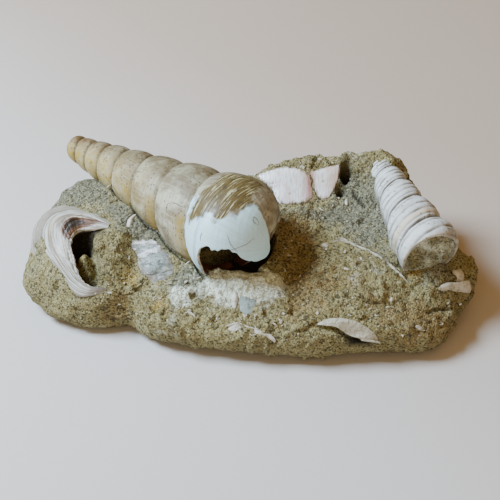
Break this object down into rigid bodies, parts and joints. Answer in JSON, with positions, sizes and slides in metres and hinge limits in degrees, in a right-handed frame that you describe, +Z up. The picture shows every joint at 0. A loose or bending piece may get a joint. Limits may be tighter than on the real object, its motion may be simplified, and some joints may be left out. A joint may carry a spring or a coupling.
{
  "type": "fossil shell block",
  "caption": "Lump of shelly sandstone with a large smooth turret shell lying across its top, a broken moon snail, a ribbed turret shell and shell fragments set in it.",
  "frame": {"origin": "on the surface the block rests on, under the middle of its bounding box", "axes": "+X along the block's length from the moon snail to the ribbed turret shell, +Y from the front edge to the back edge, +Z up"},
  "size_m": [0.1578, 0.0892, 0.0523],
  "materials": {
    "sandstone": "rough, sandy olive-tan stone",
    "smooth_shell": "warm grey-white worn shell",
    "ribbed_shell": "chalky white shell",
    "snail_shell": "white and grey shell with a brown patch",
    "pink_shell": "satin pale pink shell",
    "grey_shell": "flaky blue-grey shell",
    "white_shell": "off-white worn shell"
  },
  "bodies": {
    "root": {"sandstone_matrix": "sandstone", "smooth_turret_shell": "smooth_shell", "ribbed_turret_shell": "ribbed_shell", "moon_snail_shell": "snail_shell", "pink_shell_large_fragment": "pink_shell", "pink_shell_small_fragment": "pink_shell", "grey_oyster_fragment": "grey_shell", "blue_grey_shard": "grey_shell", "white_nub": "white_shell", "diamond_shard": "white_shell", "white_bar_shard": "white_shell", "clam_valve": "white_shell", "buried_valve_edge": "white_shell"}
  },
  "joints": []
}
